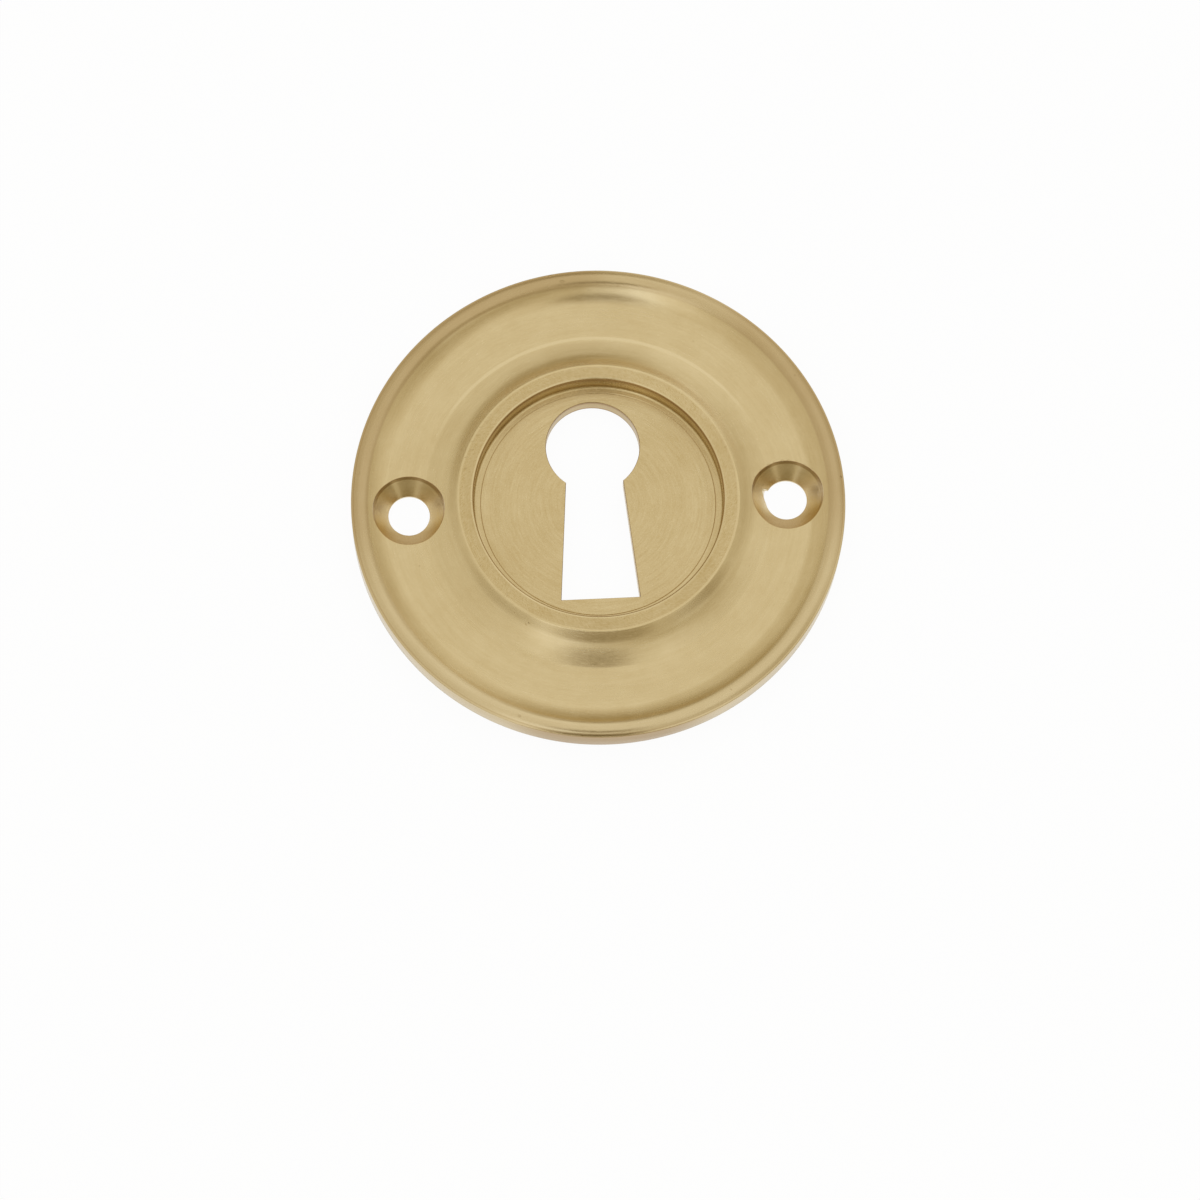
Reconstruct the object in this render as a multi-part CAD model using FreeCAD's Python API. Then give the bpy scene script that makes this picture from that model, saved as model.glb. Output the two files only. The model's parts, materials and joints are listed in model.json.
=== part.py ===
import FreeCAD, Part
import math
import os

# Keyhole escutcheon: a round brass plate turned from one piece, with a raised ring round a recessed
# floor, a keyhole through the floor and two countersunk screw holes. Millimetres.
# The plate lies on its flat back at z = 0, its front faces +Z, the round end of the keyhole lies
# toward +Y and the screw holes lie on the X axis.

# Overall size and the heights of the front above the back
rim_diameter = 50.8
wall_height = 2.8
plate_thickness = 1.95
ring_height = 3.7
floor_thickness = 1.75

# Bands of the front, from the rim inward
ledge_width = 0.27
bead_width = 1.43
outer_cove_width = 1.8
outer_shoulder_width = 0.4
flat_width = 3.05
inner_shoulder_width = 0.6
inner_cove_width = 2.2
flank_width = 1.15
ring_width = 1.66

# Edges and curves of those bands
back_edge_bevel = 0.15
wall_edge_bevel = 0.08
ledge_rise = 0.06
bead_crown = 0.22
outer_cove_rise = 0.85
outer_cove_bow = 0.105
outer_shoulder_rise = 0.035
inner_shoulder_rise = 0.06
inner_cove_bow = 0.04
flank_foot_rise = 0.85
ring_edge_bevel = 0.1
ring_crown = 0.12

# Mouth and foot of the recess
recess_bevel_width = 0.26
recess_bevel_drop = 0.08
foot_groove_width = 0.42
foot_groove_depth = 0.08

# Keyhole, a little left of the plate's centre, and its distances from the recess wall
keyhole_shift_x = -0.25
keyhole_round_diameter = 9.7
keyhole_round_margin = 1.75
slot_foot_margin = 2.54
slot_width_at_round = 5.24
slot_width_at_foot = 8.08

# Countersunk screw holes, their centres set in from the rim
hole_inset = 5.9
hole_diameter = 4.26
hole_land = 0.25
countersink_diameter = 7.4
countersink_angle = 90.0

# Chip broken out of the right hole's edge: the hole's circle moved by chip_reach along
# chip_direction, and kept only below chip_top on the hole's left side
chip_reach = 0.75
chip_direction = 108.0
chip_top = 0.95

# How far every cutter runs past the faces that it cuts
cut_overrun = 1.0

rim_radius = rim_diameter / 2
bead_outer_radius = rim_radius - ledge_width
bead_inner_radius = bead_outer_radius - bead_width
outer_shoulder_radius = bead_inner_radius - outer_cove_width
flat_outer_radius = outer_shoulder_radius - outer_shoulder_width
flat_inner_radius = flat_outer_radius - flat_width
inner_shoulder_radius = flat_inner_radius - inner_shoulder_width
flank_foot_radius = inner_shoulder_radius - inner_cove_width
ring_radius = flank_foot_radius - flank_width
recess_radius = ring_radius - ring_width
hole_radius = hole_diameter / 2
hole_x = rim_radius - hole_inset

up = FreeCAD.Vector(0, 0, 1)
origin = FreeCAD.Vector(0, 0, 0)


def at(radius, height):
    """A point of the half section, which lies in the XZ plane."""
    return FreeCAD.Vector(radius, 0, height)


def line(start, end):
    return Part.LineSegment(start, end).toShape()


def arc(start, end, bow):
    """An arc from start to end whose middle stands off the chord by bow, to the left of the way."""
    way = end - start
    left = FreeCAD.Vector(-way.z, 0, way.x).normalize()
    middle = (start + end) * 0.5 + left * bow
    return Part.Arc(start, middle, end).toShape()


def turned_body():
    """The plate without its holes: one half section, turned round the Z axis."""
    back_centre = at(0, 0)
    back_edge = at(rim_radius - back_edge_bevel, 0)
    wall_foot = at(rim_radius, back_edge_bevel)
    wall_top = at(rim_radius, wall_height - wall_edge_bevel)
    ledge_outer = at(rim_radius - wall_edge_bevel, wall_height)
    bead_outer = at(bead_outer_radius, wall_height + ledge_rise)
    bead_inner = at(bead_inner_radius, plate_thickness + outer_cove_rise)
    outer_shoulder = at(outer_shoulder_radius, plate_thickness + outer_shoulder_rise)
    flat_outer = at(flat_outer_radius, plate_thickness)
    flat_inner = at(flat_inner_radius, plate_thickness)
    inner_shoulder = at(inner_shoulder_radius, plate_thickness + inner_shoulder_rise)
    flank_foot = at(flank_foot_radius, plate_thickness + flank_foot_rise)
    ring_outer = at(ring_radius, ring_height)
    flank_way = (flank_foot - ring_outer).normalize()
    ring_inner = at(recess_radius + recess_bevel_width, ring_height + ring_crown)
    recess_top = at(recess_radius, ring_inner.z - recess_bevel_drop)
    groove_outer = at(recess_radius, floor_thickness - foot_groove_depth)
    groove_inner = at(recess_radius - foot_groove_width, groove_outer.z)
    floor_outer = at(groove_inner.x, floor_thickness)
    floor_centre = at(0, floor_thickness)

    section = Part.Wire([
        line(back_centre, back_edge),
        line(back_edge, wall_foot),
        line(wall_foot, wall_top),
        line(wall_top, ledge_outer),
        line(ledge_outer, bead_outer),
        arc(bead_outer, bead_inner, -bead_crown),
        arc(bead_inner, outer_shoulder, outer_cove_bow),
        line(outer_shoulder, flat_outer),
        line(flat_outer, flat_inner),
        line(flat_inner, inner_shoulder),
        arc(inner_shoulder, flank_foot, inner_cove_bow),
        line(flank_foot, ring_outer + flank_way * ring_edge_bevel),
        line(ring_outer + flank_way * ring_edge_bevel, ring_outer - at(ring_edge_bevel, 0)),
        line(ring_outer - at(ring_edge_bevel, 0), ring_inner),
        line(ring_inner, recess_top),
        line(recess_top, groove_outer),
        line(groove_outer, groove_inner),
        line(groove_inner, floor_outer),
        line(floor_outer, floor_centre),
        line(floor_centre, back_centre),
    ])
    return Part.Face(section).revolve(origin, up, 360)


def keyhole_cutter():
    """A round with a slot below it that flares toward its foot, through the recessed floor."""
    bottom = -cut_overrun
    height = floor_thickness + 2 * cut_overrun
    round_radius = keyhole_round_diameter / 2
    round_y = recess_radius - keyhole_round_margin - round_radius
    foot_y = slot_foot_margin - recess_radius
    round_centre = FreeCAD.Vector(keyhole_shift_x, round_y, bottom)
    round_cutter = Part.makeCylinder(round_radius, height, round_centre)

    corners = [
        FreeCAD.Vector(keyhole_shift_x + side * width / 2, y, bottom)
        for side, width, y in (
            (-1, slot_width_at_foot, foot_y),
            (1, slot_width_at_foot, foot_y),
            (1, slot_width_at_round, round_y),
            (-1, slot_width_at_round, round_y),
        )
    ]
    slot_outline = Part.makePolygon(corners + corners[:1])
    slot_cutter = Part.Face(slot_outline).extrude(up * height)
    return round_cutter.fuse(slot_cutter).removeSplitter()


def screw_hole_cutter(x):
    """A through hole with a thin land, the countersink's cone and the tool's full width above it."""
    tool_radius = countersink_diameter / 2
    half_angle = math.radians(countersink_angle / 2)
    cone_top = hole_land + (tool_radius - hole_radius) / math.tan(half_angle)
    top = ring_height + ring_crown + cut_overrun
    profile = [
        at(0, -cut_overrun),
        at(hole_radius, -cut_overrun),
        at(hole_radius, hole_land),
        at(tool_radius, cone_top),
        at(tool_radius, top),
        at(0, top),
    ]
    cutter = Part.Face(Part.makePolygon(profile + profile[:1])).revolve(origin, up, 360)
    return cutter.translated(at(x, 0))


def chip_cutter(x):
    """The chip out of the edge of the hole at x."""
    direction = math.radians(chip_direction)
    move = FreeCAD.Vector(math.cos(direction), math.sin(direction), 0) * chip_reach
    bottom = at(x, -cut_overrun)
    height = plate_thickness + 2 * cut_overrun
    moved_circle = Part.makeCylinder(hole_radius, height, bottom + move)
    side = 2 * hole_radius
    corner = bottom + FreeCAD.Vector(-side, chip_top - side, 0)
    return moved_circle.common(Part.makeBox(side, side, height, corner))


def escutcheon():
    cutters = [
        keyhole_cutter(),
        screw_hole_cutter(-hole_x),
        screw_hole_cutter(hole_x),
        chip_cutter(hole_x),
    ]
    body = turned_body()
    for cutter in cutters:
        body = body.cut(cutter)
    return body.Solids[0]


os.makedirs("parts", exist_ok=True)
escutcheon().exportStep("parts/escutcheon.step")
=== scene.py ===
import json
import math

import bmesh
import bpy
from mathutils import Matrix, Vector


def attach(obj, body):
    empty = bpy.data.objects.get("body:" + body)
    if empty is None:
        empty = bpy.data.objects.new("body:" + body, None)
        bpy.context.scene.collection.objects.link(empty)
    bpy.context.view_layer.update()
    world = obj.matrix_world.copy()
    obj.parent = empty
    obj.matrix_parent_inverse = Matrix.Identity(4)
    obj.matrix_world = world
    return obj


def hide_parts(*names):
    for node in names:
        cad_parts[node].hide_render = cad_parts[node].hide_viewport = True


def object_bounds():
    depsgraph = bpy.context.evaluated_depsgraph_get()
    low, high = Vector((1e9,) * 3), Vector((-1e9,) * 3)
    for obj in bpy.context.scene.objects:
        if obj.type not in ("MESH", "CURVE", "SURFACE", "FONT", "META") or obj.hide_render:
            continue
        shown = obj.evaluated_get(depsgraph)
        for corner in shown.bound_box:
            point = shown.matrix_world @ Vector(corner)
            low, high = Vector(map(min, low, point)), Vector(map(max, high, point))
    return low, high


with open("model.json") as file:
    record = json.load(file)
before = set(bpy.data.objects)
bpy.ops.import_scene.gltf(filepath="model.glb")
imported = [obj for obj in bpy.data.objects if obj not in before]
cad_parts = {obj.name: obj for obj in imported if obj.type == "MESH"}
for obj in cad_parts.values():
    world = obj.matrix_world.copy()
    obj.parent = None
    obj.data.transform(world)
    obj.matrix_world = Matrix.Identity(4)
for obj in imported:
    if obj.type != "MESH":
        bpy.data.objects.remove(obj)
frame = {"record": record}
cad_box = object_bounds()

MM = 0.001

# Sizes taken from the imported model
rim_radius = cad_box[1].x
crown_height = cad_box[1].z
screw_mount = next(m for m in frame["record"]["mounts"] if m["name"] == "screw_holes")
hole_x = screw_mount["dims"]["spacing_x_mm"] * MM / 2
hole_radius = screw_mount["dims"]["hole_r_mm"] * MM

# Heights of the front above the back
wall_height = 2.8 * MM
plate_thickness = 1.95 * MM
floor_thickness = 1.75 * MM
ring_crown = 0.12 * MM
ring_height = crown_height - ring_crown

# Bands of the front, from the rim inward
ledge_width = 0.27 * MM
bead_width = 1.43 * MM
outer_cove_width = 1.8 * MM
outer_shoulder_width = 0.4 * MM
flat_width = 3.05 * MM
inner_shoulder_width = 0.6 * MM
inner_cove_width = 2.2 * MM
flank_width = 1.15 * MM
ring_width = 1.66 * MM

# Edges and curves of those bands
back_edge_radius = 0.15 * MM
wall_edge_radius = 0.09 * MM
ledge_rise = 0.06 * MM
bead_crown = 0.22 * MM
outer_cove_rise = 0.85 * MM
outer_cove_bow = 0.105 * MM
outer_shoulder_rise = 0.035 * MM
inner_shoulder_rise = 0.06 * MM
inner_cove_bow = 0.04 * MM
flank_foot_rise = 0.85 * MM
flank_foot_ease = 0.5 * MM
ring_edge_radius = 0.22 * MM
crown_foot_rise = 0.01 * MM

# Recess
recess_bevel_width = 0.26 * MM
recess_bevel_drop = 0.08 * MM
recess_edge_radius = 0.12 * MM
foot_radius = 0.3 * MM
floor_line_inset = 0.73 * MM
floor_line_half_width = 0.05 * MM
floor_line_depth = 0.025 * MM

# Keyhole
keyhole_shift_x = -0.25 * MM
keyhole_round_radius = 4.85 * MM
keyhole_round_margin = 1.75 * MM
slot_foot_margin = 2.54 * MM
slot_half_width_at_round = 2.62 * MM
slot_half_width_at_foot = 4.04 * MM
keyhole_edge_bevel = 0.05 * MM

# Screw holes
hole_land = 0.25 * MM
countersink_radius = 3.7 * MM
countersink_half_angle = math.radians(45)
chip_direction = math.radians(108)
chip_top = 1.15 * MM
chip_back_reach = 0.45 * MM
chip_front_reach = 1.05 * MM
chip_front_height = 0.75 * MM
chip_end_angle = math.radians(252)

# Dents: azimuth, radius, half length, half width, depth and the turn of the length from the radius
plate_dents = (
    (96.0, 24.32, 0.26, 0.12, 0.06, 85),
    (89.4, 23.26, 0.16, 0.12, 0.06, 20),
    (82.1, 23.74, 0.13, 0.10, 0.05, 70),
    (98.5, 25.20, 0.30, 0.12, 0.08, 95),
    (248.1, 24.59, 0.16, 0.11, 0.06, 60),
    (239.4, 15.20, 0.34, 0.05, 0.05, 62),
    (238.6, 15.42, 0.22, 0.04, 0.05, 66),
    (232.7, 15.04, 0.15, 0.06, 0.05, 40),
    (3.1, 25.12, 0.13, 0.10, 0.08, 10),
    (31.0, 24.60, 0.10, 0.08, 0.04, 0),
    (146.0, 24.95, 0.12, 0.07, 0.05, 30),
    (171.0, 24.70, 0.11, 0.07, 0.04, 75),
    (300.5, 24.40, 0.10, 0.07, 0.04, 15),
    (333.0, 16.90, 0.09, 0.06, 0.03, 45),
    (198.0, 19.60, 0.08, 0.06, 0.03, 0),
    (58.0, 20.40, 0.09, 0.06, 0.03, 35),
)
# Fine scratches across the ring's outer edge: azimuth, radius, half length and turn
ring_scratches = (
    (138.5, 14.30, 0.42, 25), (142.0, 14.15, 0.55, 32), (145.5, 14.32, 0.40, 20), (149.0, 14.10, 0.60, 28),
    (152.5, 14.28, 0.45, 36), (156.0, 14.05, 0.50, 24), (160.0, 14.30, 0.38, 30), (165.0, 14.12, 0.45, 22),
    (209.0, 14.25, 0.35, 15), (226.0, 14.20, 0.40, 40), (318.0, 14.15, 0.45, -20), (20.0, 14.25, 0.35, 12),
)
scratch_half_width = 0.03 * MM
scratch_depth = 0.022 * MM
# Nicks on the right countersink's far rim: hole azimuth, half length, half width and depth
rim_nicks = (
    (133.0, 0.22, 0.09, 0.06), (117.0, 0.30, 0.08, 0.05), (108.0, 0.10, 0.07, 0.05), (94.0, 0.15, 0.10, 0.07),
    (84.0, 0.18, 0.07, 0.05), (72.0, 0.09, 0.06, 0.04), (57.0, 0.26, 0.06, 0.05), (44.0, 0.24, 0.10, 0.06),
    (151.0, 0.10, 0.06, 0.04),
)
# Pit in the left countersink's cone: hole azimuth, distance from the hole's axis and radius
cone_pit = (121.0, 3.05, 0.10)

# Degrees the nicks turn from the hole's spoke, how far out they lie, and how flat the pit is
nick_turn = 80
nick_reach = 1.01
pit_flatness = 0.8

# How finely the surfaces are divided
turn_segments = 480
hole_segments = 160
flat_step = 0.45 * MM
arc_step = 0.14 * MM
back_step = 4.0 * MM
flank_step = 0.2 * MM
wall_step = 0.3 * MM
cone_step = 0.2 * MM
corner_steps = 5
crown_edge_steps = 3
mouth_edge_steps = 4
foot_steps = 7
ease_steps = 6
slot_side_steps = 12
chip_steps = 24
ball_subdivisions = 3

# Cutting: how far cutters run past the faces, and how the cut faces are cleaned and shaded
cut_overrun = 1.0 * MM
axis_tolerance = 1e-9
merge_distance = 0.002 * MM
sliver_length = 0.001 * MM
most_sides = 4
sharp_angle = math.radians(24)

# Radii that follow from the bands
bead_outer_radius = rim_radius - ledge_width
bead_inner_radius = bead_outer_radius - bead_width
outer_shoulder_radius = bead_inner_radius - outer_cove_width
flat_outer_radius = outer_shoulder_radius - outer_shoulder_width
flat_inner_radius = flat_outer_radius - flat_width
inner_shoulder_radius = flat_inner_radius - inner_shoulder_width
flank_foot_at = inner_shoulder_radius - inner_cove_width
ring_radius = flank_foot_at - flank_width
recess_radius = ring_radius - ring_width
floor_line_radius = recess_radius - floor_line_inset


def straight(start, end, step=flat_step):
    """Points from start up to, but without, end."""
    start, end = Vector(start), Vector(end)
    count = max(1, math.ceil((end - start).length / step))
    return [start.lerp(end, i / count) for i in range(count)]


def bow(start, end, height):
    """Points of an arc whose middle stands off the chord by height, to the left of the way."""
    start, end = Vector(start), Vector(end)
    half = (end - start).length / 2
    radius = (half * half + height * height) / (2 * abs(height))
    half_angle = math.asin(min(1.0, half / radius))
    along = (end - start).normalized()
    left = Vector((-along.y, along.x)) * math.copysign(1, height)
    centre = (start + end) / 2 - left * (radius - abs(height))
    count = max(2, math.ceil(2 * half / arc_step))
    points = []
    for i in range(count):
        angle = half_angle * (2 * i / count - 1)
        points.append(centre + along * radius * math.sin(angle) + left * radius * math.cos(angle))
    return points


def corner(before, at, after, radius, steps=corner_steps):
    """Points that round the corner at `at` between the ways from before and to after."""
    before, at, after = Vector(before), Vector(at), Vector(after)
    way_in = (before - at).normalized()
    way_out = (after - at).normalized()
    half = way_in.angle(way_out) / 2
    reach = radius / math.tan(half)
    centre = at + (way_in + way_out).normalized() * radius / math.sin(half)
    first = at + way_in * reach - centre
    last = at + way_out * reach - centre
    turn = first.angle_signed(last)
    return [centre + Matrix.Rotation(-turn * i / steps, 2) @ first for i in range(steps + 1)]


def eased(points, crease, reach, steps=ease_steps):
    """The points with those within reach of crease replaced by a smooth curve."""
    crease = Vector(crease)
    near = [i for i, point in enumerate(points) if (point - crease).length < reach]
    before, after = points[near[0] - 1], points[near[-1] + 1]
    curve = []
    for i in range(1, steps):
        way = i / steps
        curve.append(before.lerp(crease, way).lerp(crease.lerp(after, way), way))
    return points[:near[0]] + curve + points[near[-1] + 1:]


def section():
    """The plate's half section as (radius, height) points, from the back's centre round to the floor's."""
    back_edge = (rim_radius, 0)
    wall_top = (rim_radius, wall_height)
    ledge_top = (rim_radius - wall_edge_radius, wall_height + ledge_rise / 3)
    bead_outer = (bead_outer_radius, wall_height + ledge_rise)
    bead_inner = (bead_inner_radius, plate_thickness + outer_cove_rise)
    outer_shoulder = (outer_shoulder_radius, plate_thickness + outer_shoulder_rise)
    flat_outer = (flat_outer_radius, plate_thickness)
    flat_inner = (flat_inner_radius, plate_thickness)
    inner_shoulder = (inner_shoulder_radius, plate_thickness + inner_shoulder_rise)
    flank_foot = (flank_foot_at, plate_thickness + flank_foot_rise)
    ring_outer = (ring_radius, ring_height)
    crown_foot = (ring_radius - 2 * ring_edge_radius, ring_height + crown_foot_rise)
    ring_inner = (recess_radius + recess_bevel_width, crown_height)
    recess_top = (recess_radius, crown_height - recess_bevel_drop)
    wall_foot = (recess_radius, floor_thickness)
    floor_centre = (0, floor_thickness)
    line_outer = (floor_line_radius + floor_line_half_width, floor_thickness)
    line_bottom = (floor_line_radius, floor_thickness - floor_line_depth)
    line_inner = (floor_line_radius - floor_line_half_width, floor_thickness)

    points = straight((0, 0), (rim_radius - back_edge_radius, 0), step=back_step)
    points += corner((0, 0), back_edge, wall_top, back_edge_radius)
    points += corner(back_edge, wall_top, ledge_top, wall_edge_radius)
    points += bow(bead_outer, bead_inner, -bead_crown)
    points += bow(bead_inner, outer_shoulder, outer_cove_bow)
    points += straight(outer_shoulder, flat_outer, step=arc_step)
    points += straight(flat_outer, flat_inner)
    points += straight(flat_inner, inner_shoulder, step=arc_step)
    points += bow(inner_shoulder, flank_foot, inner_cove_bow)
    points += straight(flank_foot, ring_outer, step=flank_step)[:-1]
    points += corner(flank_foot, ring_outer, ring_inner, ring_edge_radius)
    points += straight(crown_foot, ring_inner)[1:]
    points += corner(ring_outer, ring_inner, recess_top, recess_edge_radius, steps=crown_edge_steps)
    points += corner(ring_inner, recess_top, wall_foot, recess_edge_radius, steps=mouth_edge_steps)
    points += straight(recess_top, wall_foot, step=wall_step)[1:-1]
    points += corner(recess_top, wall_foot, floor_centre, foot_radius, steps=foot_steps)
    points += [Vector(line_outer), Vector(line_bottom)]
    points += straight(line_inner, floor_centre)
    points.append(Vector(floor_centre))
    return eased(points, flank_foot, flank_foot_ease)


def linked_object(name, data):
    piece = bpy.data.objects.new(name, data)
    bpy.context.scene.collection.objects.link(piece)
    return piece


def closed_solid(name, work):
    """An object of the faces in work, all turned outward."""
    bmesh.ops.recalc_face_normals(work, faces=work.faces)
    mesh = bpy.data.meshes.new(name)
    work.to_mesh(mesh)
    work.free()
    return linked_object(name, mesh)


def revolved(name, points, segments, centre=(0, 0)):
    """A closed solid turned from (radius, height) points about an upright axis through centre."""
    work = bmesh.new()
    rings = []
    turn = [2 * math.pi * i / segments for i in range(segments)]
    for radius, height in points:
        if radius < axis_tolerance:
            rings.append([work.verts.new((centre[0], centre[1], height))])
            continue
        rings.append([
            work.verts.new((centre[0] + radius * math.cos(a), centre[1] + radius * math.sin(a), height))
            for a in turn
        ])
    for low, high in zip(rings, rings[1:]):
        for i in range(segments):
            j = (i + 1) % segments
            if len(low) == 1:
                work.faces.new((low[0], high[j], high[i]))
            elif len(high) == 1:
                work.faces.new((low[i], low[j], high[0]))
            else:
                work.faces.new((low[i], low[j], high[j], high[i]))
    return closed_solid(name, work)


def prism(name, layers):
    """A closed solid skinned through outlines of the same count; each layer is (height, outline)."""
    work = bmesh.new()
    rings = [[work.verts.new((x, y, height)) for x, y in outline] for height, outline in layers]
    count = len(rings[0])
    for low, high in zip(rings, rings[1:]):
        for i in range(count):
            j = (i + 1) % count
            work.faces.new((low[i], low[j], high[j], high[i]))
    work.faces.new(rings[0][::-1])
    work.faces.new(rings[-1])
    return closed_solid(name, work)


def keyhole_outline(grow=0.0):
    """The keyhole's outline, anticlockwise from the foot's right corner, moved outward by grow."""
    round_y = recess_radius - keyhole_round_margin - keyhole_round_radius
    foot_y = slot_foot_margin - recess_radius
    length = round_y - foot_y
    flare = (slot_half_width_at_foot - slot_half_width_at_round) / length
    lean = math.sqrt(1 + flare * flare)

    def half_width(y):
        return slot_half_width_at_round + (round_y - y) * flare + grow * lean

    radius = keyhole_round_radius + grow
    # Where the slot's side meets the round: (h + f t)^2 + t^2 = r^2, with t measured down from round_y
    h = half_width(round_y)
    a, b, c = 1 + flare * flare, 2 * h * flare, h * h - radius * radius
    drop = (-b + math.sqrt(b * b - 4 * a * c)) / (2 * a)
    neck_x, neck_y = h + flare * drop, round_y - drop
    start = math.atan2(neck_y - round_y, neck_x)
    sweep = math.pi - 2 * start
    foot = foot_y - grow
    heights = [foot + (neck_y - foot) * i / slot_side_steps for i in range(slot_side_steps)]
    right_side = [(half_width(y), y) for y in heights]
    turn = [start + sweep * i / hole_segments for i in range(hole_segments + 1)]
    arc = [(radius * math.cos(a), round_y + radius * math.sin(a)) for a in turn]
    left_side = [(-x, y) for x, y in reversed(right_side)]
    return [(x + keyhole_shift_x, y) for x, y in right_side + arc + left_side]


def keyhole_cutter():
    bottom = keyhole_outline()
    top = keyhole_outline(keyhole_edge_bevel * 2)
    edge = floor_thickness - keyhole_edge_bevel
    return prism("keyhole_cutter", [
        (-cut_overrun, bottom),
        (edge, bottom),
        (floor_thickness + keyhole_edge_bevel, top),
        (floor_thickness + cut_overrun, top),
    ])


def screw_hole_cutter(name, x):
    cone_top = hole_land + (countersink_radius - hole_radius) / math.tan(countersink_half_angle)
    top = crown_height + cut_overrun
    profile = [Vector((0, -cut_overrun))]
    profile += straight((hole_radius, -cut_overrun), (hole_radius, hole_land), step=cut_overrun)
    profile += straight((hole_radius, hole_land), (countersink_radius, cone_top), step=cone_step)
    profile += [Vector((countersink_radius, cone_top)), Vector((countersink_radius, top)), Vector((0, top))]
    return revolved(name, profile, hole_segments, (x, 0))


def chip_cutter(x):
    """The chip out of the edge of the hole at x: a sloped break, widest at the front."""
    layers = []
    for height, reach in (
        (-cut_overrun, chip_back_reach), (0, chip_back_reach),
        (chip_front_height, chip_front_reach), (crown_height, chip_front_reach),
    ):
        centre_x = x + reach * math.cos(chip_direction)
        centre_y = reach * math.sin(chip_direction)
        first = math.pi - math.asin((chip_top - centre_y) / hole_radius)
        turn = [first + (chip_end_angle - first) * i / chip_steps for i in range(chip_steps + 1)]
        outline = [(centre_x + hole_radius * math.cos(a), centre_y + hole_radius * math.sin(a)) for a in turn]
        outline += [(x, -chip_top), (x, chip_top)]
        layers.append((height, outline))
    return prism("chip_cutter", layers)


def front_height(radius):
    """Height of the turned front at a radius."""
    heights = []
    points = section()
    for a, b in zip(points, points[1:]):
        low, high = sorted((a.x, b.x))
        if low <= radius <= high and high > low:
            heights.append(a.y + (b.y - a.y) * (radius - a.x) / (b.x - a.x))
    return max(heights)


def on_front(radius, azimuth):
    """The point of the turned front at a radius and azimuth."""
    return Vector((radius * math.cos(azimuth), radius * math.sin(azimuth), front_height(radius)))


def dent_cutters():
    """Every dent, scratch, nick and pit as one mesh of separate flattened balls."""
    balls = []
    for azimuth, radius, half_length, half_width, depth, turn in plate_dents:
        azimuth = math.radians(azimuth)
        size = (half_length * MM, half_width * MM, depth * MM)
        balls.append((on_front(radius * MM, azimuth), size, azimuth + math.radians(turn)))
    for azimuth, radius, half_length, turn in ring_scratches:
        azimuth = math.radians(azimuth)
        size = (half_length * MM, scratch_half_width, scratch_depth)
        balls.append((on_front(radius * MM, azimuth), size, azimuth + math.radians(turn)))
    for azimuth, half_length, half_width, depth in rim_nicks:
        azimuth = math.radians(azimuth)
        rim = countersink_radius * nick_reach
        x, y = hole_x + rim * math.cos(azimuth), rim * math.sin(azimuth)
        size = (half_length * MM, half_width * MM, depth * MM)
        balls.append((Vector((x, y, front_height(math.hypot(x, y)))), size, azimuth + math.radians(nick_turn)))
    azimuth, distance, radius = cone_pit
    azimuth = math.radians(azimuth)
    cone_height = hole_land + (distance * MM - hole_radius) / math.tan(countersink_half_angle)
    place = Vector((distance * MM * math.cos(azimuth) - hole_x, distance * MM * math.sin(azimuth), cone_height))
    balls.append((place, (radius * MM, radius * MM * pit_flatness, radius * MM), azimuth))

    work = bmesh.new()
    for place, size, turn in balls:
        matrix = Matrix.Translation(place) @ Matrix.Rotation(turn, 4, "Z") @ Matrix.Diagonal((*size, 1))
        bmesh.ops.create_icosphere(work, subdivisions=ball_subdivisions, radius=1, matrix=matrix)
    return closed_solid("dent_cutters", work)


def clean_cut_faces(piece):
    """Joins the points that a cut leaves next to each other, and splits its many-sided faces."""
    work = bmesh.new()
    work.from_mesh(piece.data)
    bmesh.ops.remove_doubles(work, verts=work.verts, dist=merge_distance)
    bmesh.ops.dissolve_degenerate(work, dist=sliver_length, edges=work.edges)
    bmesh.ops.triangulate(work, faces=[face for face in work.faces if len(face.verts) > most_sides])
    work.to_mesh(piece.data)
    work.free()


def cut(piece, cutter):
    """Takes cutter's space out of piece, and removes cutter."""
    modifier = piece.modifiers.new("cut", "BOOLEAN")
    modifier.operation = "DIFFERENCE"
    modifier.solver = "EXACT"
    modifier.object = cutter
    evaluated = piece.evaluated_get(bpy.context.evaluated_depsgraph_get())
    mesh = bpy.data.meshes.new_from_object(evaluated)
    piece.modifiers.clear()
    piece.data = mesh
    bpy.data.objects.remove(cutter)
    clean_cut_faces(piece)


plate = revolved("escutcheon_plate", section(), turn_segments)
cut(plate, dent_cutters())
cut(plate, keyhole_cutter())
cut(plate, screw_hole_cutter("left_hole_cutter", -hole_x))
cut(plate, screw_hole_cutter("right_hole_cutter", hole_x))
cut(plate, chip_cutter(hole_x))
plate.data.shade_smooth()
plate.data.set_sharp_from_angle(angle=sharp_angle)
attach(plate, "root")
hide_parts("escutcheon")


# Colours of the brass: its darkest and lightest tone, the bead's, a painted shade for dark lines and shaded
# places, and a painted highlight and a painted shade for the countersinks
dark_brass = (0.50, 0.36, 0.15, 1)
light_brass = (0.70, 0.565, 0.315, 1)
dull_brass = (0.62, 0.495, 0.285, 1)
painted_shade_brass = (0.36, 0.22, 0.075, 1)
cone_highlight_brass = (0.97, 0.89, 0.72, 1)
cone_shade_brown = (0.44, 0.29, 0.10, 1)
base_tone = 0.67
base_roughness = 0.24
brushing = 0.8
brushing_turn = 0.25
marks_height = 0.006 * MM
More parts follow.
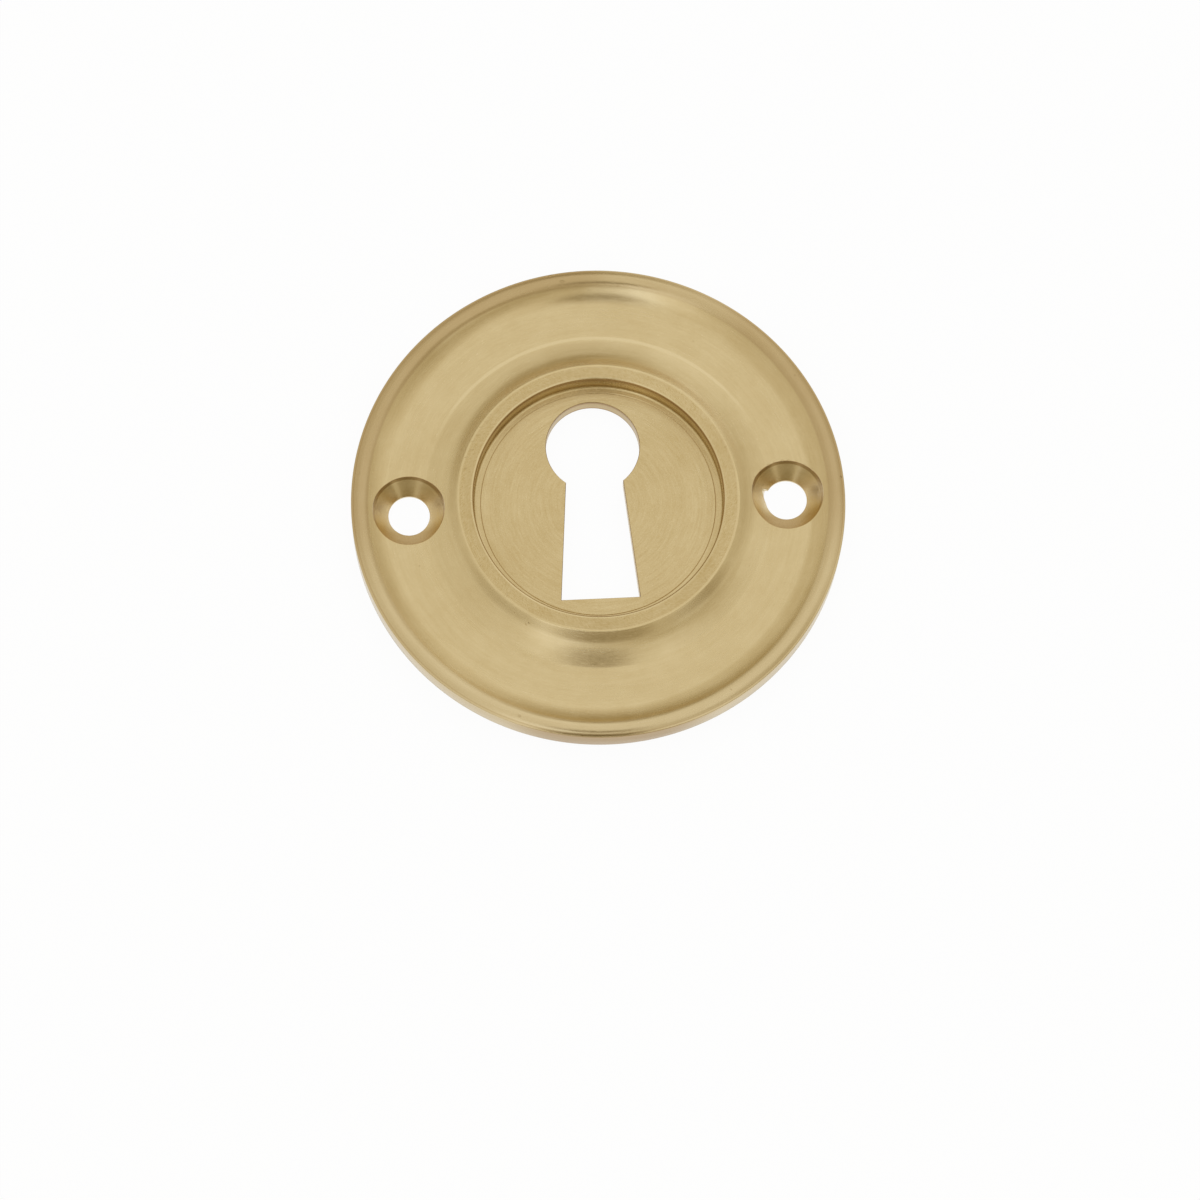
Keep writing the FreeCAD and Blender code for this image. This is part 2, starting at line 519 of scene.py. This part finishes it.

# Bands of the plate: the measure that bounds each, its two bounds and how soft they are; ledge, shoulder, bevel,
# recess_edge, wall, floor_line, keyhole_middle, cone_edge, cone_sides, cove_right and bead_right bound where
# painted shade and painted highlights fall
bands = {
    "ledge": ("radius", bead_outer_radius - 0.03 * MM, bead_outer_radius + 0.09 * MM, 0.04 * MM),
    "cove": ("radius", outer_shoulder_radius + 0.3 * MM, bead_inner_radius, 0.3 * MM),
    "shoulder": ("radius", inner_shoulder_radius + 0.12 * MM, inner_shoulder_radius + 0.42 * MM, 0.12 * MM),
    "inner_cove": ("radius", flank_foot_at, inner_shoulder_radius, 0.2 * MM),
    "flank": ("radius", ring_radius, flank_foot_at, 0.1 * MM),
    "ring_edge": ("radius", ring_radius - 0.2 * MM, ring_radius + 0.12 * MM, 0.05 * MM),
    "ring": ("radius", recess_radius + recess_bevel_width, ring_radius - ring_edge_radius, 0.06 * MM),
    "bevel": ("radius", recess_radius + 0.13 * MM, recess_radius + recess_bevel_width, 0.04 * MM),
    "recess_edge": ("radius", recess_radius - 0.05 * MM, recess_radius + 0.1 * MM, 0.03 * MM),
    "wall": ("radius", recess_radius - 0.03 * MM, recess_radius + 0.09 * MM, 0.02 * MM),
    "floor_line": ("radius", floor_line_radius - floor_line_half_width,
                   floor_line_radius + floor_line_half_width, 0.02 * MM),
    "keyhole_middle": ("height", 0.16 * MM, floor_thickness - 0.4 * MM, 0.12 * MM),
    "cone_edge": ("from_hole", countersink_radius - 0.2 * MM, countersink_radius + 0.02 * MM, 0.03 * MM),
    "cone_sides": ("y", -0.15 * countersink_radius, 0.3 * countersink_radius, 0.25 * countersink_radius),
    "cove_right": ("x", 0.0, 0.3 * rim_radius, 0.05 * rim_radius),
    "bead_right": ("x", 0.05 * rim_radius, 0.6 * rim_radius, 0.08 * rim_radius),
}
# Ramps across the plate: the measure, where the ramp is 0 and where it is 1; those by y put painted shade and
# painted highlights on near and far sides
ramps = {
    "bead": ("radius", bead_inner_radius - 0.15 * MM, bead_inner_radius + 0.1 * MM),
    "rim_edge": ("radius", bead_outer_radius, bead_outer_radius + 0.08 * MM),
    "rim_wall": ("radius", rim_radius - 0.05 * MM, rim_radius - 0.01 * MM),
    "ring_top": ("height", ring_height - 0.25 * MM, ring_height - 0.15 * MM),
    "recess_mouth": ("height", crown_height - 0.4 * MM, crown_height - 0.2 * MM),
    "wall_top": ("height", floor_thickness + 1.1 * MM, crown_height - 0.2 * MM),
    "below_floor": ("height", floor_thickness - 0.02 * MM, floor_thickness - 0.05 * MM),
    "rim_front": ("y", -0.89 * rim_radius, -0.99 * rim_radius),
    "bead_back": ("y", -0.35 * rim_radius, 0.0),
    "bead_far_back": ("y", 0.4 * rim_radius, rim_radius),
    "cove_back": ("y", 0.75 * rim_radius, 0.82 * rim_radius),
    "shoulder_back": ("y", 0.25 * rim_radius, 0.6 * rim_radius),
    "floor_front": ("y", 0.6 * recess_radius, 0.0),
    "keyhole_back": ("y", 0.3 * recess_radius, 0.7 * recess_radius),
    "cone_back": ("y", -0.2 * countersink_radius, 0.5 * countersink_radius),
    "cone_front": ("y", -0.15 * countersink_radius, -0.6 * countersink_radius),
    "cone_edge_back": ("y", -3.0 * MM, -1.0 * MM),
}
recess_margin = 0.01 * MM
cone_margin = 1.005

# Turning marks: pitch, how finely they break up along their way, and detail
turning_marks = {
    "fine": (0.09 * MM, 22.0, 2.0),
    "medium": (0.34 * MM, 4.0, 2.0),
    "lines": (0.22 * MM, 1.6, 3.0),
    "broad": (1.6 * MM, 1.6, 1.0),
}
# Blotches and grain: size, detail and roughness
spots = {"cloud": (3.2 * MM, 4.0, 0.65), "grain": (0.16 * MM, 3.0, 0.7)}
# Short slanting scratches across the ring: width, length and detail
hatch_width = 0.13 * MM
hatch_length = 0.9 * MM
hatch_detail = 2.0

# How much each mark lightens or darkens the brass: everywhere, and further in some zones
mark_tones = {
    "fine": (0.35, {"bead": 0.25, "ring": 0.3, "recess": 0.2}),
    "medium": (0.3, {"bead": 0.2}),
    "lines": (0.0, {"recess": 0.55}),
    "cloud": (0.5, {}),
    "grain": (0.35, {"bead": 0.5, "ring": 0.5, "recess": 0.45, "cone": -0.1}),
    "hatch": (0.0, {"ring": 0.9}),
}
mark_roughness = {"broad": (0.15, {}), "fine": (0.12, {}), "grain": (0.08, {})}
mark_heights = {
    "fine": (0.5, {"ring": 0.5}),
    "medium": (0.35, {"cone": 0.6}),
    "lines": (0.0, {"recess": 0.6}),
    "grain": (0.3, {"ring": 0.6, "cone": -0.3}),
    "hatch": (0.0, {"ring": 1.2}),
}
# How much lighter or rougher each zone is than the flat; bead_lean is painted light, lighter at the front and
# darker at the back, and the outer cove's far right, the inner shoulder's far side, the bevel and the
# countersinks' back are painted highlights
zone_tones = {
    "bead": -0.25, "bead_lean": 0.32, "cove": -0.16, "cove_highlight": 0.4, "shoulder": 0.5, "inner_cove": 0.07,
    "flank": 0.15, "ring": -0.28, "bevel": 0.2, "recess": -0.17, "cone": 0.12, "cone_back": 0.45,
}
zone_roughness = {"rim_edge": -0.06, "ring_edge": -0.06, "ring": 0.06, "cone": -0.06}
# Colours laid over the tone one after another, and how strongly in each zone
overlays = (
    (dull_brass, {"bead": 0.5}),
    # Painted shade: on the near side of the rim wall, along the ledge, on the bead's back, the recess edge and
    # upper wall, in the floor line, on the keyhole walls and round the countersinks' rims
    (painted_shade_brass, {
        "rim_front": 0.75, "ledge": 0.3, "bead_back": 0.33, "recess_edge": 1.0, "upper_wall": 0.5,
        "floor_line": 0.3, "keyhole_lip": 0.95, "keyhole_back": 0.35, "cone_edge": 0.2, "cone_edge_back": 0.5}),
    # Painted highlight on the left and right sides of the countersinks
    (cone_highlight_brass, {"cone_sides": 0.65}),
    # Painted shade on the front of the countersinks
    (cone_shade_brown, {"cone_front": 0.9}),
)


class Nodes:
    """A material's or world's node tree, with its inputs given as numbers, colours or other sockets."""

    def __init__(self, owner):
        owner.use_nodes = True
        self.tree = owner.node_tree
        self.tree.nodes.clear()

    def add(self, kind, inputs=(), **settings):
        node = self.tree.nodes.new(kind)
        for name, value in settings.items():
            setattr(node, name, value)
        for key, value in dict(inputs).items():
            if isinstance(value, bpy.types.NodeSocket):
                self.tree.links.new(value, node.inputs[key])
            else:
                node.inputs[key].default_value = value
        return node

    def math(self, operation, *values):
        return self.add("ShaderNodeMath", enumerate(values), operation=operation).outputs[0]

    def times(self, first, *others):
        for other in others:
            first = self.math("MULTIPLY", first, other)
        return first

    def plus(self, first, *others):
        for other in others:
            first = self.math("ADD", first, other)
        return first

    def rest(self, value):
        """What is missing from value to 1."""
        return self.math("SUBTRACT", 1.0, value)

    def vector(self, operation, *values):
        node = self.add("ShaderNodeVectorMath", enumerate(values), operation=operation)
        return node.outputs["Value" if operation in ("LENGTH", "DOT_PRODUCT") else "Vector"]

    def combine(self, x, y, z=0.0):
        return self.add("ShaderNodeCombineXYZ", {"X": x, "Y": y, "Z": z}).outputs[0]

    def separate(self, vector):
        return self.add("ShaderNodeSeparateXYZ", {0: vector}).outputs

    def ramp(self, value, start, end):
        """0 before start to 1 past end, with soft ends."""
        inputs = {"Value": value, "From Min": start, "From Max": end}
        return self.add("ShaderNodeMapRange", inputs, interpolation_type="SMOOTHSTEP").outputs["Result"]

    def band(self, value, low, high, soft):
        """1 from low to high and 0 outside, with ends soft wide."""
        return self.times(
            self.ramp(value, low - soft, low + soft), self.rest(self.ramp(value, high - soft, high + soft)))

    def mix(self, factor, a, b):
        return self.add("ShaderNodeMix", {0: factor, 6: a, 7: b}, data_type="RGBA").outputs[2]

    def blend(self, factor, a, b):
        return self.add("ShaderNodeMix", {0: factor, 2: a, 3: b}, data_type="FLOAT").outputs[0]

    def noise(self, vector, scale, detail, roughness=0.5, **fourth):
        """Noise round 0; fourth gives its fourth coordinate, W, where it has one."""
        inputs = {"Vector": vector, "Scale": scale, "Detail": detail, "Roughness": roughness, **fourth}
        node = self.add("ShaderNodeTexNoise", inputs, noise_dimensions="4D" if fourth else "3D")
        return self.math("SUBTRACT", node.outputs["Fac"], 0.5)


def new_material(name):
    material = bpy.data.materials.new(name)
    return material, Nodes(material)


def plate_zones(n, measures):
    """Values that are 1 inside each zone of the plate and 0 outside."""
    band = {name: n.band(measures[key], *bounds) for name, (key, *bounds) in bands.items()}
    ramp = {name: n.ramp(measures[key], *ends) for name, (key, *ends) in ramps.items()}
    cone = n.math("LESS_THAN", measures["from_hole"], countersink_radius * cone_margin)
    recess = n.math("LESS_THAN", measures["radius"], recess_radius - recess_margin)
    keyhole = n.times(recess, ramp["below_floor"])
    return {
        "rim_edge": ramp["rim_edge"],
        # Painted shade on the near side of the rim wall
        "rim_front": n.times(ramp["rim_wall"], ramp["rim_front"]),
        # Painted shade along the ledge between the bead and the rim wall
        "ledge": band["ledge"],
        "bead": ramp["bead"],
        # Painted light on the bead: lighter at the front and darker at the back, with painted shade on its back
        # half except at the far right
        "bead_lean": n.times(ramp["bead"], n.times(measures["y"], -1 / rim_radius)),
        "bead_back": n.times(
            ramp["bead"], ramp["bead_back"], n.rest(n.times(band["bead_right"], ramp["bead_far_back"]))),
        "cove": band["cove"],
        # Painted highlight on the outer cove's far side, just right of the middle
        "cove_highlight": n.times(band["cove"], band["cove_right"], ramp["cove_back"]),
        # Painted highlight on the inner shoulder's far side
        "shoulder": n.times(band["shoulder"], ramp["shoulder_back"]),
        "inner_cove": band["inner_cove"],
        "flank": band["flank"],
        "ring_edge": n.times(band["ring_edge"], ramp["ring_top"]),
        "ring": band["ring"],
        # Painted highlight along the recess bevel
        "bevel": band["bevel"],
        # Painted shade along the recess edge
        "recess_edge": n.times(band["recess_edge"], ramp["recess_mouth"]),
        # Painted shade on the upper part of the recess wall
        "upper_wall": n.times(band["wall"], ramp["wall_top"]),
        "recess": recess,
        # Painted shade in the floor line, fading towards the back
        "floor_line": n.times(band["floor_line"], ramp["floor_front"]),
        # Painted shade on the keyhole walls next to their top and bottom edges, and more on the far walls
        "keyhole_lip": n.times(keyhole, n.rest(band["keyhole_middle"])),
        "keyhole_back": n.times(keyhole, ramp["keyhole_back"]),
        "cone": cone,
        # Painted highlight on the back and the sides of the countersinks, and painted shade on their front
        "cone_back": n.times(cone, ramp["cone_back"]),
        "cone_sides": n.times(cone, band["cone_sides"]),
        "cone_front": n.times(cone, ramp["cone_front"]),
        # Painted shade round the countersinks' rims, more at the back
        "cone_edge": band["cone_edge"],
        "cone_edge_back": n.times(band["cone_edge"], ramp["cone_edge_back"]),
    }


def plate_marks(n, place, measures, spoke):
    """Every turning mark, blotch and scratch as a value round 0; spoke leads from the nearest axis."""
    radius = n.vector("LENGTH", spoke)
    outward = n.vector("NORMALIZE", spoke)
    marks = {}
    for name, (pitch, breaks, detail) in turning_marks.items():
        along = n.vector("MULTIPLY", outward, (breaks, breaks, 0.0))
        across = n.combine(0.0, 0.0, n.times(radius, 1 / pitch))
        upward = n.times(measures["height"], 1 / pitch)
        marks[name] = n.noise(n.vector("ADD", along, across), 1.0, detail, W=upward)
    for name, (size, detail, roughness) in spots.items():
        marks[name] = n.noise(place, 1 / size, detail, roughness)
    turned = n.times(n.math("ARCTAN2", measures["x"], n.times(measures["y"], -1.0)), ring_radius)
    across_hatch = n.times(n.math("SUBTRACT", turned, measures["radius"]), 1 / hatch_width)
    along_hatch = n.times(n.plus(turned, measures["radius"]), 1 / hatch_length)
    marks["hatch"] = n.noise(n.combine(across_hatch, along_hatch), 1.0, hatch_detail)
    return marks


def brass():
    material, n = new_material("satin_brass")
    place = n.add("ShaderNodeTexCoord").outputs["Object"]
    x, y, height = n.separate(place)
    from_hole_x = n.math("SUBTRACT", n.math("ABSOLUTE", x), hole_x)
    measures = {
        "x": x, "y": y, "height": height,
        "radius": n.vector("LENGTH", n.combine(x, y)),
        "from_hole": n.vector("LENGTH", n.combine(from_hole_x, y)),
    }
    zones = plate_zones(n, measures)
    axis_x = n.times(n.math("SIGN", x), hole_x, zones["cone"])
    spoke = n.combine(n.math("SUBTRACT", x, axis_x), y)
    marks = plate_marks(n, place, measures, spoke)
    out_x, out_y, _ = n.separate(n.vector("NORMALIZE", spoke))
    tangent = n.combine(n.times(out_y, -1.0), out_x)

    def in_zones(base, weights):
        return n.plus(base, *(n.times(zones[name], weight) for name, weight in weights.items()))

    def in_marks(base, weights):
        return n.plus(base, *(n.times(marks[name], in_zones(*amount)) for name, amount in weights.items()))

    colour = n.mix(in_marks(in_zones(base_tone, zone_tones), mark_tones), dark_brass, light_brass)
    for overlay, weights in overlays:
        colour = n.mix(in_zones(0.0, weights), colour, overlay)
    rough = in_marks(in_zones(base_roughness, zone_roughness), mark_roughness)
    bump = n.add("ShaderNodeBump", {
        "Strength": 1.0, "Distance": marks_height, "Height": in_marks(0.0, mark_heights)})
    shader = n.add("ShaderNodeBsdfPrincipled", {
        "Base Color": colour, "Metallic": 1.0, "Roughness": rough, "Anisotropic": brushing,
        "Anisotropic Rotation": brushing_turn, "Tangent": tangent, "Normal": bump.outputs["Normal"]})
    n.add("ShaderNodeOutputMaterial", {"Surface": shader.outputs["BSDF"]})
    return material


plate.data.materials.clear()
plate.data.materials.append(brass())


# Camera: the photograph's view, as a distance, an elevation, a spin and a roll about the aim point
camera_distance = 450.0 * MM
camera_elevation = math.radians(71.989)
camera_spin = math.radians(6.393)
camera_roll = math.radians(3.601)
camera_aim = Vector((0.808 * MM, -9.879 * MM, 0))
camera_lens = 131.535

# Floor: half its width in metres, how far it lies below the back, its grey and how white it looks
floor_half_width = 3.0
floor_drop = 0.01 * MM
floor_grey = (0.95, 0.95, 0.95, 1)
floor_whitening = 0.95
white = (1, 1, 1, 1)

# Light from all round: its level overhead and at the horizon, and the heights between which it changes
overhead_level = 0.98
horizon_level = 0.63
ramp_low, ramp_high = 0.235, 0.66
# What is darker out there is warmer too: powers of the level for red, green and blue
shade_powers = (0.85, 1.0, 1.4)
# Lights and shades: azimuth, angle from straight up, half widths round and up, softness and level
patches = {
    "key_light": (109, 48.5, 38, 19, 0.49, 1.16),
    "back_shade": (81, 73, 70, 12.5, 0.24, 0.25),
    "front_left_light": (243.5, 45, 11, 23, 0.39, 1.35),
    "front_right_light": (320, 47, 8.5, 23, 0.37, 1.49),
    "photographer": (271, 62, 25.5, 12.5, 0.29, 0.22),
    "camera_body": (268, 21.5, 9, 8, 0.3, 0.15),
    "right_shade": (320, 42.5, 27, 13.5, 0.54, 0.58),
    "right_low_light": (52.5, 79, 21.5, 21.5, 0.77, 1.15),
    "far_left_light": (129, 29, 14, 11, 0.5, 1.36),
    "left_wall": (161, 43, 53, 31, 0.47, 0.83),
    "right_wall": (31, 67, 28, 17.5, 0.5, 0.74),
    "left_low_shade": (219, 80, 29, 15, 0.52, 0.3),
    "front_right_shade": (324, 77, 19, 15, 0.43, 0.25),
}


def add_camera():
    unspin = Matrix.Rotation(-camera_spin, 3, "Z")
    back = unspin @ Vector((0, -math.cos(camera_elevation), math.sin(camera_elevation)))
    data = bpy.data.cameras.new("camera")
    data.lens = camera_lens
    data.clip_start = 0.01
    data.clip_end = 10
    camera = linked_object("camera", data)
    camera.location = unspin @ camera_aim + back * camera_distance
    upright = (-back).to_track_quat("-Z", "Y").to_matrix()
    camera.rotation_euler = (upright @ Matrix.Rotation(camera_roll, 3, "Z")).to_euler()
    bpy.context.scene.camera = camera


def add_floor():
    mesh = bpy.data.meshes.new("floor")
    half = floor_half_width
    mesh.from_pydata([(-half, -half, 0), (half, -half, 0), (half, half, 0), (-half, half, 0)], [], [(0, 1, 2, 3)])
    floor = linked_object("floor", mesh)
    floor.location.z = -floor_drop
    material, n = new_material("pale_floor")
    lit = n.add("ShaderNodeBsdfDiffuse", {"Color": floor_grey}).outputs[0]
    glow = n.add("ShaderNodeEmission", {"Color": white, "Strength": 1.0}).outputs[0]
    ray = n.add("ShaderNodeLightPath").outputs
    seen = n.math("MAXIMUM", ray["Is Camera Ray"], ray["Is Glossy Ray"])
    seen = n.math("MAXIMUM", seen, ray["Is Transmission Ray"])
    mixed = n.add("ShaderNodeMixShader", {0: n.times(seen, floor_whitening), 1: lit, 2: glow})
    n.add("ShaderNodeOutputMaterial", {"Surface": mixed.outputs[0]})
    mesh.materials.append(material)


def add_world():
    world = bpy.data.worlds.new("studio")
    n = Nodes(world)
    way = n.vector("NORMALIZE", n.add("ShaderNodeTexCoord").outputs["Generated"])
    level = n.blend(n.ramp(n.separate(way)["Z"], ramp_low, ramp_high), horizon_level, overhead_level)
    for azimuth, zenith, half_round, half_up, soft, strength in patches.values():
        azimuth, zenith = math.radians(azimuth), math.radians(zenith)
        facing = Vector((
            math.cos(azimuth) * math.sin(zenith), math.sin(azimuth) * math.sin(zenith), math.cos(zenith)))
        sideways = Vector((-math.sin(azimuth), math.cos(azimuth), 0))
        upward = facing.cross(sideways)
        across = n.vector("DOT_PRODUCT", way, tuple(sideways / math.sin(math.radians(half_round))))
        along = n.vector("DOT_PRODUCT", way, tuple(upward / math.sin(math.radians(half_up))))
        reach = n.vector("LENGTH", n.combine(across, along))
        inside = n.rest(n.ramp(reach, 1.0 - soft, 1.0 + soft))
        ahead = n.math("GREATER_THAN", n.vector("DOT_PRODUCT", way, tuple(facing)), 0.0)
        level = n.blend(n.times(inside, ahead), level, strength)
    colour = n.add("ShaderNodeCombineColor", {
        channel: n.math("POWER", level, power) for channel, power in enumerate(shade_powers)}).outputs[0]
    seen = n.add("ShaderNodeLightPath").outputs["Is Camera Ray"]
    light = n.add("ShaderNodeBackground", {"Color": n.mix(seen, colour, white), "Strength": 1.0})
    n.add("ShaderNodeOutputWorld", {"Surface": light.outputs[0]})
    bpy.context.scene.world = world


add_camera()
add_floor()
add_world()
bpy.context.scene.view_settings.view_transform = "Standard"
